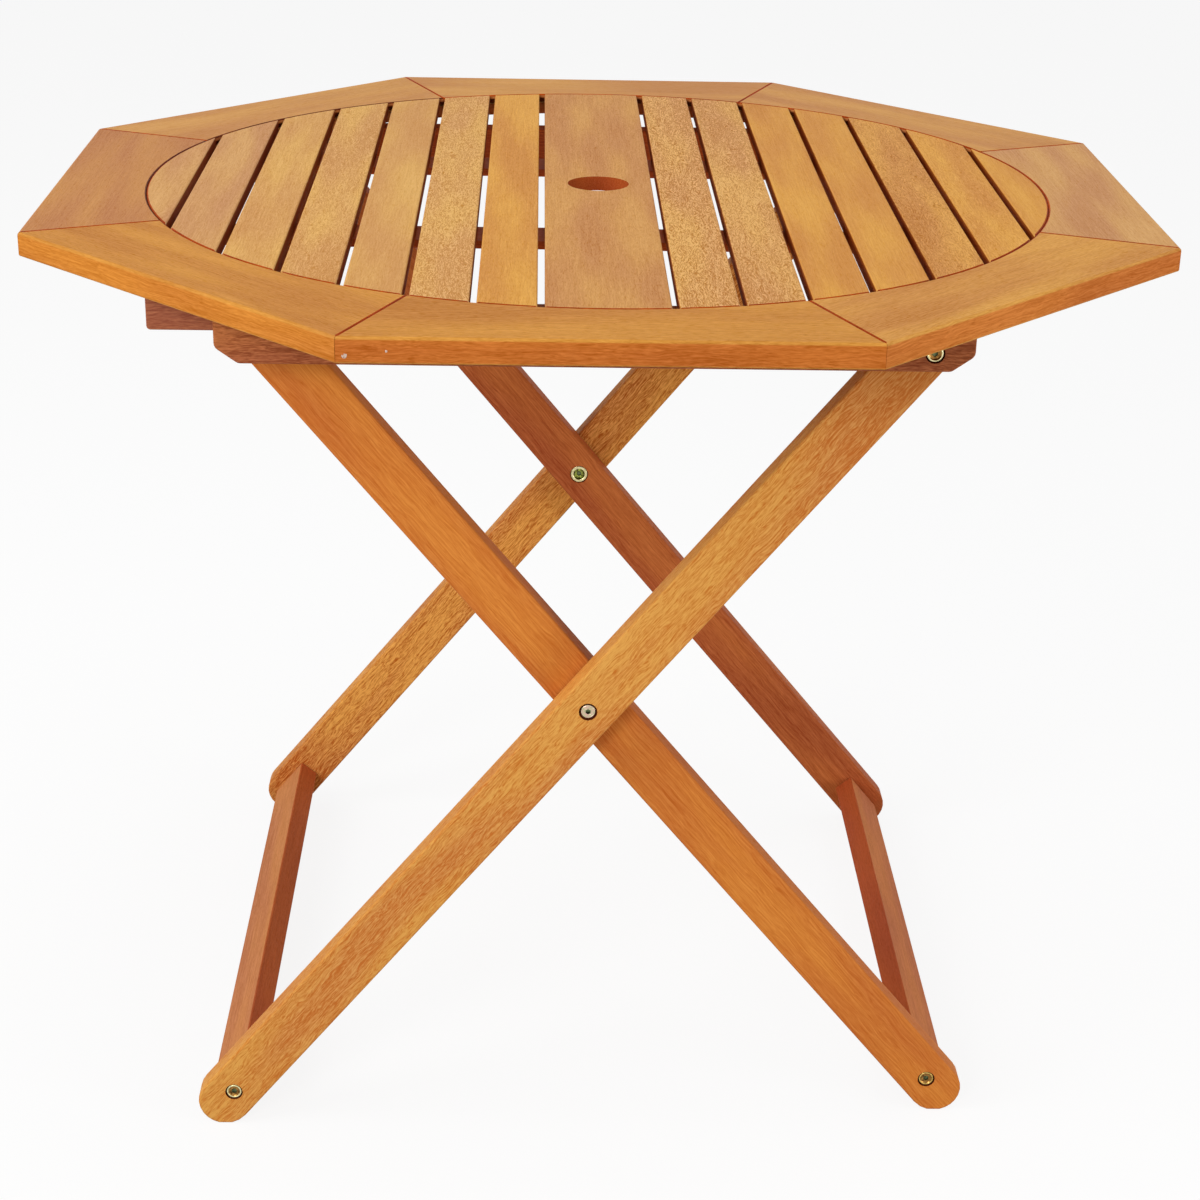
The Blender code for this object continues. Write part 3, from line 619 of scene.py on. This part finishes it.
def turn_of(node):
    """The Euler turn that lays X along the grain of a board."""
    if node.startswith("border"):
        return (0, 0, math.pi / 2 + RING.index(node.removeprefix("border_")) * math.pi / 4)
    if node.startswith(("slat", "centre")) or "stretcher" in node or "crossbar" in node:
        return (0, 0, math.pi / 2)
    if "_leg_" in node:
        return (0, -math.atan2(leg_run(node).z, leg_run(node).x), 0)
    return (0, 0, 0)


print("The legs rise at", [round(math.degrees(-turn_of(leg)[1]), 1)
                           for leg in ("outer_leg_front", "inner_leg_front")], "degrees")

# %% [markdown]
# ## Finished faces and deeper sides
# The top's boards are finished above and below, and their sides are deeper in colour, partly
# from oil and partly with painted shade. The stretchers are turned with the legs: the faces
# that look along the legs get painted shade, and the other two are painted lighter, as the lit
# ones. All other boards are smoother above and below, and have one colour all round.

# %% The tints of each board
LEVEL = (0, 0, 1)
SLAT_SIDE_OIL_AND_SHADE = "#B47868"                         # for the sawn sides of slats: their oil, and painted shade in the gaps
PLANK_SIDE_OIL_AND_SHADE = "#D08976"                    # for the sides of the plank and the wall of the pole hole: their oil, and painted shade in the hole
BORDER_EDGE_OIL_AND_SHADE = "#F8CEC8"                   # for the moulded edge of the border: its oil, and painted shade, as it gets less light than the top
FRONT_LEFT_EDGE_OIL_AND_LIGHT = "#FFEAD7"                  # and on the front left board, whose edge faces the key light: painted light, so less deep and more golden
STRETCHER_PAINTED_SHADE = "#CC9276"                       # painted shade for the stretchers' faces along the legs, which get less light
STRETCHER_PAINTED_LIGHT = "#E4D0C0"                      # and painted light: the lighter tint of their two other faces


def tints_of(node):
    """The way a board's finished faces look, and the tints of its sides and of those faces."""
    if node == "border_front_left":
        return LEVEL, FRONT_LEFT_EDGE_OIL_AND_LIGHT, WHITE
    if node.startswith("border"):
        return LEVEL, BORDER_EDGE_OIL_AND_SHADE, WHITE
    if node.startswith("centre"):
        return LEVEL, PLANK_SIDE_OIL_AND_SHADE, WHITE
    if node.startswith("slat"):
        return LEVEL, SLAT_SIDE_OIL_AND_SHADE, WHITE
    if "stretcher" in node:
        return leg_run(node), STRETCHER_PAINTED_LIGHT, STRETCHER_PAINTED_SHADE
    return LEVEL, WHITE, WHITE


print(len([node for node in BOARDS if tints_of(node)[1] != WHITE]), "boards have tinted sides")

# %% [markdown]
# ## The wood laid on
# Each board gets a wood of its own, whose pattern is moved on from the last board's. The
# second slot gets a dark wood: at the top's joints a red brown one, where oil has gathered,
# and in the bores a nearly black one, for their oiled end grain and painted shade in their
# depth.

# %% Lay the wood on
PATTERN_STEP = 7.3                       # how far each board's pattern is from the last one's


def darkened_wood(kind):
    """Dark wood: in the joints dark with gathered oil, in the bores with oil and painted shade.
    """
    return oiled_wood("oil darkened " + kind, TONES[kind], centre=(0, 0, 0), turn=(0, 0, 0),
                      shift=0, figure=0, flecks=0.5, facing=LEVEL, side_tint=WHITE,
                      face_tint=WHITE)


joint_wood, bore_shade_wood = darkened_wood("joint"), darkened_wood("bore")
for number, (node, (tone, figure, flecks)) in enumerate(BOARDS.items(), start=1):
    wood = oiled_wood("oiled hardwood, " + node.replace("_", " "), TONES[tone], middle(node),
                      turn_of(node), PATTERN_STEP * number, figure, flecks, *tints_of(node))
    boards[node].material_slots[0].material = wood
    boards[node].material_slots[DARK_WOOD_SLOT].material = joint_wood if node in top_boards else bore_shade_wood
print("Wood laid on", len(BOARDS), "boards")

# %% [markdown]
# ## The open joint at the left
# Wood shrinks across its grain as it dries. At the left the slats have drawn back from the
# border a little, and the open joint looks nearly black with shade. Two border boards get a
# third slot with the bores' dark wood, which paints that shade on those eased faces that lie
# on the ring and not on a mitre. They are told apart by how far they are from the table's
# middle.

# %% Paint the shade of the ring's open joint at the left
OPEN_JOINT_SHADE_SLOT = DARK_WOOD_SLOT + 1                   # the material slot of the open joint's painted shade
RING_REACH = 2 * JOINT_EASE              # the ring's eased faces are closer to it than this
HALF_SIDE = math.pi / 8                  # half of one board's share of the turn

# The left board has an arc of the round opening, half a side up and down from the X axis. The
# ends of that arc are the board's furthest points to the right, where its box ends.
opening_radius = -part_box("border_left")[1][0] / math.cos(HALF_SIDE)
darkened = 0
for board in (boards["border_left"], boards["border_rear_left"]):
    board.data.materials.append(bore_shade_wood)
    for face in board.data.polygons:
        at_ring = math.hypot(*face.center.xy) < opening_radius + RING_REACH
        if face.material_index == DARK_WOOD_SLOT and at_ring:
            face.material_index = OPEN_JOINT_SHADE_SLOT
            darkened += 1
print("The opening's radius is", round(opening_radius, 4), "m;", darkened, "faces darkened")

# %% [markdown]
# ## Zinc plate
# The fittings are steel with a thin coat of zinc. Clear zinc looks silvery with a faint pink
# and green bloom. Yellow passivated zinc is brassy, and its film, thinner than a wave of
# light, shifts from straw to olive in patches. Inside a socket or a dish the plate is painted
# darker, for the shade that lies there; in a socket it is nearly black. One noise, scaled to
# the size of such a patch, mixes the two colours of a plate and moves its gloss, so colour
# and gloss change in the same places.

# %% The plated steel
BLOOM = 2.2 * MM                         # size of a patch of the bloom
BLOOM_LEVELS = (0.35, 0.65)              # the pattern's values at the bright and the bloom end
GLOSS_RANGE = (-0.08, 0.12)              # how far the roughness moves at those two ends
SCRATCH_DEPTH = 0.03 * MM
SCRATCH_BUMP = 0.25


def zinc(name, bright, bloom, roughness):
    """Plated steel whose colour and gloss change a little from patch to patch."""
    material = new_material(name)
    place = add(material, "TexCoord").outputs["Object"]
    patch = add(material, "TexNoise", Vector=place, Scale=1 / BLOOM, Detail=3.0).outputs[0]
    share = add(material, "MapRange", Value=patch, From_Min=BLOOM_LEVELS[0],
                From_Max=BLOOM_LEVELS[1]).outputs[0]
    colour = add(material, "Mix", {"data_type": "RGBA"}, in0=share, in6=linear(bright),
                 in7=linear(bloom)).outputs[2]
    gloss = add(material, "MapRange", Value=share, To_Min=roughness + GLOSS_RANGE[0],
                To_Max=roughness + GLOSS_RANGE[1]).outputs[0]
    bump = add(material, "Bump", Strength=SCRATCH_BUMP, Distance=SCRATCH_DEPTH,
               Height=patch).outputs[0]
    metal = add(material, "BsdfPrincipled", Base_Color=colour, Metallic=1.0, Roughness=gloss,
                Normal=bump).outputs[0]
    add(material, "OutputMaterial", Surface=metal)
    return material


clear_zinc = zinc("zinc plated steel", "#E0B8AA", "#C2C098", roughness=0.28)
pale_zinc = zinc("faded yellow zinc plated steel", "#EBDFAE", "#C6BF8A", roughness=0.28)
yellow_zinc = zinc("yellow zinc plated steel", "#D6B068", "#A58A44", roughness=0.28)
# the nuts' dish: the olive film of the plate, and painted shade in its hollow
nut_dish_olive_and_shade_zinc = zinc("olive zinc plate in a dish", "#A9B454", "#43361C", roughness=0.26)
# the bolts' dished faces: a darker plate for painted shade
dish_shade_zinc = zinc("brown zinc plate in a dish", "#A87C40", "#5C3C1C", roughness=0.30)
socket_shade_zinc = zinc("zinc plate in a socket, dark with painted shade", "#2E2A1A", "#707C58", roughness=0.45)
print("A patch of the bloom is", BLOOM / MM, "mm wide")

# %% [markdown]
# ## Turned fittings
# Bolts, sleeve nuts and screws are turned parts, so each is made as on a lathe: a disc for
# the face of the head, whose rim is then extruded, ring after ring, along the part's profile.
# Spinning a drawn profile would give the same shape, but here a profile is a plain list of
# depths and radii, as on a maker's drawing. A piece is made at the origin with its face up.

# %% A lathe
LATHE_FACETS = 48


def lathe(name, profile, facets=LATHE_FACETS):
    """A closed turned piece. profile lists (depth below the face, radius) in mm."""
    bpy.ops.object.select_all(action="DESELECT")
    depth, radius = profile[0]
    bpy.ops.mesh.primitive_circle_add(vertices=facets, radius=radius * MM, fill_type="NGON",
                                      location=(0, 0, -depth * MM))
    piece = bpy.context.object
    piece.name = name
    bpy.ops.object.transform_apply(location=True, rotation=False, scale=False)
    bpy.ops.object.mode_set(mode="EDIT")
    bpy.ops.mesh.select_mode(type="EDGE")
    bpy.ops.mesh.select_all(action="SELECT")
    for next_depth, next_radius in profile[1:]:
        bpy.ops.mesh.extrude_edges_move()
        bpy.ops.transform.translate(value=(0, 0, (depth - next_depth) * MM))
        step = next_radius / radius
        bpy.ops.transform.resize(value=(step, step, 1), center_override=(0, 0, 0))
        depth, radius = next_depth, next_radius
    bpy.ops.mesh.edge_face_add()
    bpy.ops.mesh.select_all(action="SELECT")
    bpy.ops.mesh.normals_make_consistent(inside=False)
    bpy.ops.object.mode_set(mode="OBJECT")
    return piece


print("Lathe ready, with", LATHE_FACETS, "facets")

# %% [markdown]
# ## Sockets and dishes
# The socket for the key is milled into the turned face with a six sided Boolean cutter, and
# gets a nearly black plate, painted shade for its depth. Some faces are dished, and the dish
# gets a darker plate than the rim, painted shade for its hollow. Both are told apart from the
# rest by their depth and distance from the axis.

# %% A milling cutter and a darker dish
SOCKET_SIDES = 6
CUTTER_MARGIN = 1 * MM                   # how far a cutter stands out of the face
NEAR = 1.01                              # a face this many times further out still counts


def cut_away(piece, cutter):
    """Cuts a shape out of a piece and clears the cutter away."""
    select_only(piece)
    bpy.ops.object.modifier_add(type="BOOLEAN")
    piece.modifiers[-1].object = cutter
    bpy.ops.object.modifier_apply(modifier=piece.modifiers[-1].name)
    bpy.data.objects.remove(cutter)


def mill(piece, radius, depth, material):
    """Cuts a six sided socket into the face and gives it a plate of its own, dark with painted
    shade. Sizes in mm.
    """
    bpy.ops.object.select_all(action="DESELECT")
    bpy.ops.mesh.primitive_cylinder_add(
        vertices=SOCKET_SIDES, radius=radius * MM, depth=depth * MM + CUTTER_MARGIN,
        location=(0, 0, (CUTTER_MARGIN - depth * MM) / 2))
    cut_away(piece, bpy.context.object)
    for face in piece.data.polygons:
        inside = all(math.hypot(*piece.data.vertices[at].co.xy) < radius * MM * NEAR
                     for at in face.vertices)
        above_floor = face.center.z > -depth * MM * NEAR
        face.material_index = int(inside and above_floor)
    piece.data.materials.append(material)


def paint_dish_shade(piece, radius, depth, material):
    """The dish inside a radius, down to a depth, gets a darker plate than the rim: painted
    shade.
    """
    slot = len(piece.data.materials)
    piece.data.materials.append(material)
    for face in piece.data.polygons:
        in_dish = math.hypot(*face.center.xy) < radius * MM and face.center.z > -depth * MM
        if in_dish and face.material_index == 0:
            face.material_index = slot


print("Sockets have", SOCKET_SIDES, "sides")

# %% [markdown]
# ## Laying a fitting in its hole
# A finished piece keeps its place in its mesh, and its object stays at the origin. So the
# turned piece is laid on its axis and moved, and both are applied. A bolt shows its face
# outside the table, and a sleeve nut shows it inside.

# %% Lay a fitting where its solid is
FACING_FRONT, FACING_REAR = (math.pi / 2, 0, 0), (-math.pi / 2, 0, 0)
FACING_DOWN = (math.pi, 0, 0)


def lay(piece, facing, place):
    """Turns and moves a piece, and applies both, so that its place is in its mesh."""
    piece.rotation_euler = facing
    piece.location = place
    select_only(piece)
    bpy.ops.object.transform_apply(location=True, rotation=True, scale=True)
    bpy.ops.object.shade_smooth_by_angle(angle=SMOOTH_ANGLE)


def length_of(node):
    """The length of a bolt or a nut in mm, as the lathe wants it."""
    low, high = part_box(node)
    return (high[1] - low[1]) / MM


def seat(piece, node, faces_out):
    """Lays a turned piece in the place of its solid, facing out of the table or into it."""
    low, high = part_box(node)
    centre = middle(node)
    if node.endswith("front") == faces_out:
        lay(piece, FACING_FRONT, (centre.x, low[1], centre.z))
    else:
        lay(piece, FACING_REAR, (centre.x, high[1], centre.z))
    stand_for(piece, node)


print("The longest bolt is", round(max(length_of(node) for node in bolts), 1), "mm")

# %% [markdown]
# ## The bolts
# The crossing bolts have a flat head with a rounded rim, two fine turned grooves and a small
# socket. The foot and pivot bolts have a wider, raised rim round a dished face, and a larger
# socket. Length and place come from the frame's own bolts.

# %% Turn the bolts
SHANK, THREAD_CHAMFER = 3.0, 0.6         # mm: radius, and the chamfer at the shank's end
HEAD_THICKNESS = 2.2                     # mm
GROOVE_DEPTH = 0.12                      # mm
DISH_RADIUS = 4.9                        # mm
SOCKET_DEPTH = 1.9                       # mm
FLAT_SOCKET, DISHED_SOCKET = 2.3, 2.5    # mm, radii


def groove(radius):
    """The profile of a fine groove turned into a flat face."""
    return [(0, radius - 0.2), (GROOVE_DEPTH, radius - 0.1), (GROOVE_DEPTH, radius + 0.1),
            (0, radius + 0.2)]


FLAT_HEAD = groove(2.9) + groove(4.5) + [(0, 5.1), (0.15, 5.5), (0.6, 5.8)]
DISHED_HEAD = [(1.1, 2.9), (1.2, 3.3), (1.0, 4.3), (0.2, DISH_RADIUS), (0.0, 5.2), (0.0, 5.7),
               (0.2, 6.2), (0.6, 6.4)]


def bolt(node, head, socket_radius, finish):
    """A bolt as long as its solid, with a socket in its head."""
    rim = head[-1][1]
    length = length_of(node)
    piece = lathe(node + "_turned",
                  head + [(HEAD_THICKNESS, rim), (HEAD_THICKNESS, SHANK),
                          (length - THREAD_CHAMFER, SHANK), (length, SHANK - THREAD_CHAMFER)])
    piece.data.materials.append(finish)
    mill(piece, socket_radius, SOCKET_DEPTH, socket_shade_zinc)
    return piece


for node in bolts:
    if node.startswith("crossing"):
        piece = bolt(node, FLAT_HEAD, FLAT_SOCKET, clear_zinc)
    else:
        finish = yellow_zinc if node.startswith("inner") else pale_zinc
        piece = bolt(node, DISHED_HEAD, DISHED_SOCKET, finish)
        paint_dish_shade(piece, DISH_RADIUS, HEAD_THICKNESS, dish_shade_zinc)
    seat(piece, node, faces_out=True)
print(len(bolts), "bolts turned")

# %% [markdown]
# ## The sleeve nuts
# A sleeve nut is a thin tube, threaded inside, with a broad flange that is let into the inner
# face of a leg: an inner leg at the crossing, an outer leg at the top pivot. The flange's face
# is a deep bright dish inside a narrow rim, with a socket at its bottom. The washers and
# inserts are hidden in the joints and keep their solids' shape.

# %% Turn the sleeve nuts and plate the washers and inserts
RIM, DISH, SLEEVE, THREAD = 8.5, 5.6, 4.3, 3.3       # mm, radii
FLANGE_THICKNESS = 3.0                   # mm
NUT_FACE = [(2.2, 3.2), (2.1, 4.7), (0.3, DISH), (0.0, 5.9), (0.0, 7.7), (0.25, 8.3),
            (0.7, RIM), (FLANGE_THICKNESS, RIM), (FLANGE_THICKNESS, SLEEVE)]
NUT_FLOOR = 3.2                          # mm below the rim: where the thread starts
NUT_SOCKET, NUT_SOCKET_DEPTH = 2.6, 2.9  # mm

nuts = [node for node in frame["nodes"] if "_sleeve_nut_" in node]
for node in nuts:
    length = length_of(node)
    piece = lathe(node + "_turned", NUT_FACE + [(length, SLEEVE), (length, THREAD),
                                                (NUT_FLOOR, THREAD)])
    piece.data.materials.append(pale_zinc)
    mill(piece, NUT_SOCKET, NUT_SOCKET_DEPTH, socket_shade_zinc)
    paint_dish_shade(piece, DISH, NUT_FLOOR, nut_dish_olive_and_shade_zinc)
    seat(piece, node, faces_out=False)

plain = [node for node in frame["nodes"] if "_washer_" in node or "_insert_" in node]
for node in plain:
    frame["nodes"][node].material_slots[0].material = clear_zinc
print(len(nuts), "sleeve nuts turned,", len(plain), "washers and inserts plated")

# %% [markdown]
# ## A wood screw
# Countersunk screws hold the rails and blocks to the border, deep in holes bored from below,
# and hold the slats to the two battens. Only their heads can be seen, from underneath. One
# screw is turned, with fewer facets than a bolt because it is copied so often, and its cross
# recess is the same slot cut twice, at a right angle.

# %% Make one screw
SCREW_FACETS = 20
SCREW = [(0, 3.2), (0.05, 3.9), (2.3, 1.9), (14, 1.9), (18, 0.3)]       # mm, as for the lathe
RECESS = (4.4 * MM, 1.0 * MM, 1.4 * MM)  # length, width and depth

first_screw = lathe("wood_screw", SCREW, SCREW_FACETS)
first_screw.data.materials.append(clear_zinc)
length, width, depth = RECESS
for turn in (0, math.pi / 2):
    bpy.ops.object.select_all(action="DESELECT")
    bpy.ops.mesh.primitive_cube_add(size=1, location=(0, 0, 0), rotation=(0, 0, turn),
                                    scale=(length, width, 2 * depth))
    cut_away(first_screw, bpy.context.object)
print("A screw has", len(first_screw.data.polygons), "faces")

# %% [markdown]
# ## Where the screws go
# Two screws hold each end of a rail, either side of the pivot bolt at one end and at the
# mirrored place at the other. Two hold each block. In the battens one screw goes through the
# middle of every slat that they reach, and two go through the wide plank. The front and rear
# boards are alike, so a row of screws is a list of X places that serves both.

# %% Find the rows of screws
RAIL_SCREW_SPACING = 23 * MM
BLOCK_SCREW_INSETS = (14 * MM, 42 * MM)
BATTEN_END = 12 * MM                     # no screw goes closer than this to a batten's end
SCREW_GRIP = 22.0 * MM                   # of the wood above the neck of a deep hole
HEAD_SEAT = 2.45 * MM                    # from that neck down to the face of the head
HEAD_SHOWING = 0.1 * MM                  # how far a batten screw stands out of the batten

rail_middle = middle("rail_front").x
pivot_offset = middle("top_pivot_bolt_front").x - rail_middle
RAIL_ROW = [rail_middle + end * pivot_offset + step * RAIL_SCREW_SPACING / 2
            for end in (-1, 1) for step in (-1, 1)]

block_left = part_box("stop_block_front")[0][0]
BLOCK_ROW = [block_left + inset for inset in BLOCK_SCREW_INSETS]

plank_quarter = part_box("centre_plank")[1][0] / 2
batten_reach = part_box("batten_front")[1][0] - BATTEN_END
BATTEN_ROW = [x for x in [middle(node).x for node in boards if node.startswith("slat")]
              + [-plank_quarter, plank_quarter] if abs(x) < batten_reach]

DEEP_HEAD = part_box("rail_front")[1][2] - SCREW_GRIP - HEAD_SEAT
BATTEN_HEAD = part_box("batten_front")[0][2] - HEAD_SHOWING
print("Screws in a rail, a block and a batten:", len(RAIL_ROW), len(BLOCK_ROW),
      len(BATTEN_ROW))

# %% [markdown]
# ## The screws driven
# The first screw is copied to every place, each copy with its own mesh, and the screws of one
# board are joined into one piece. The holes of the rails and blocks are bored deep, so their
# walls get the dark wood, which paints the shade in their depth.

# %% Drive the screws
SCREW_BORE = 4.6 * MM                    # a little more than the radius of a deep hole


def drive(node, row, head_height):
    """Screws along the middle of a board, facing down, as one piece. Returns their number."""
    screws = []
    for x in row:
        select_only(first_screw)
        bpy.ops.object.duplicate()
        screws.append(bpy.context.object)
        lay(screws[-1], FACING_DOWN, (x, middle(node).y, head_height))
    select_only(screws[0])
    for screw in screws:
        screw.select_set(True)
    bpy.ops.object.join()
    screws[0].name = node + "_screws"
    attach(screws[0], "tabletop")
    return len(row)


driven = 0
for side in ("_front", "_rear"):
    driven += drive("rail" + side, RAIL_ROW, DEEP_HEAD)
    driven += drive("stop_block" + side, BLOCK_ROW, DEEP_HEAD)
    driven += drive("batten" + side, BATTEN_ROW, BATTEN_HEAD)
bpy.data.objects.remove(first_screw)

marked = sum(mark_bore(boards[kind + side], (x, middle(kind + side).y, 0), (0, 1), SCREW_BORE)
             for kind, row in (("rail", RAIL_ROW), ("stop_block", BLOCK_ROW))
             for side in ("_front", "_rear") for x in row)
print(driven, "screws driven;", marked, "faces of their holes marked")

# %% [markdown]
# ## Two specks of putty
# Two pin holes in the front edge were stopped with pale putty, near the left mitre. Each is a
# low mound with an uneven rim: a lathe shape whose corners are then jittered. The putty is
# matt and gritty, and picks up some of the wood's colour.

# %% Stop the pin holes
PUTTY_SPECKS = (                         # x and z in metres, and the radius in mm
    (-0.1801, 0.7265, 1.8),
    (-0.1517, 0.7302, 0.9),
)
PUTTY_FACETS = 14
PUTTY_PROUD = 0.2 * MM                   # how far a mound stands out of the edge
PUTTY_JITTER = 0.3                       # of its radius
GRIT = 1.2 * MM                          # size of a patch of grit, coarse enough to show

putty = new_material("pale wood putty")
place = add(putty, "TexCoord").outputs["Object"]
grit = add(putty, "TexNoise", Vector=place, Scale=1 / GRIT, Detail=2.0).outputs[0]
putty_colour = add(putty, "Mix", {"data_type": "RGBA"}, in0=grit, in6=linear("#8A5A3C"),
                   in7=linear("#F6E9DC")).outputs[2]
filler = add(putty, "BsdfPrincipled", Base_Color=putty_colour, Roughness=0.8).outputs[0]
add(putty, "OutputMaterial", Surface=filler)

front_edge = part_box("border_front")[0][1]
for number, (x, z, radius) in enumerate(PUTTY_SPECKS):
    mound = [(0, radius * 0.4), (0.08, radius * 0.8), (0.2, radius), (0.5, radius)]
    speck = lathe("putty_speck_" + str(number + 1), mound, PUTTY_FACETS)
    bpy.ops.object.mode_set(mode="EDIT")
    bpy.ops.mesh.select_all(action="SELECT")
    bpy.ops.transform.vertex_random(offset=radius * PUTTY_JITTER * MM, seed=number)
    bpy.ops.object.mode_set(mode="OBJECT")
    speck.data.materials.append(putty)
    lay(speck, FACING_FRONT, (x, front_edge - PUTTY_PROUD, z))
    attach(speck, "tabletop")
print(len(PUTTY_SPECKS), "specks of putty")
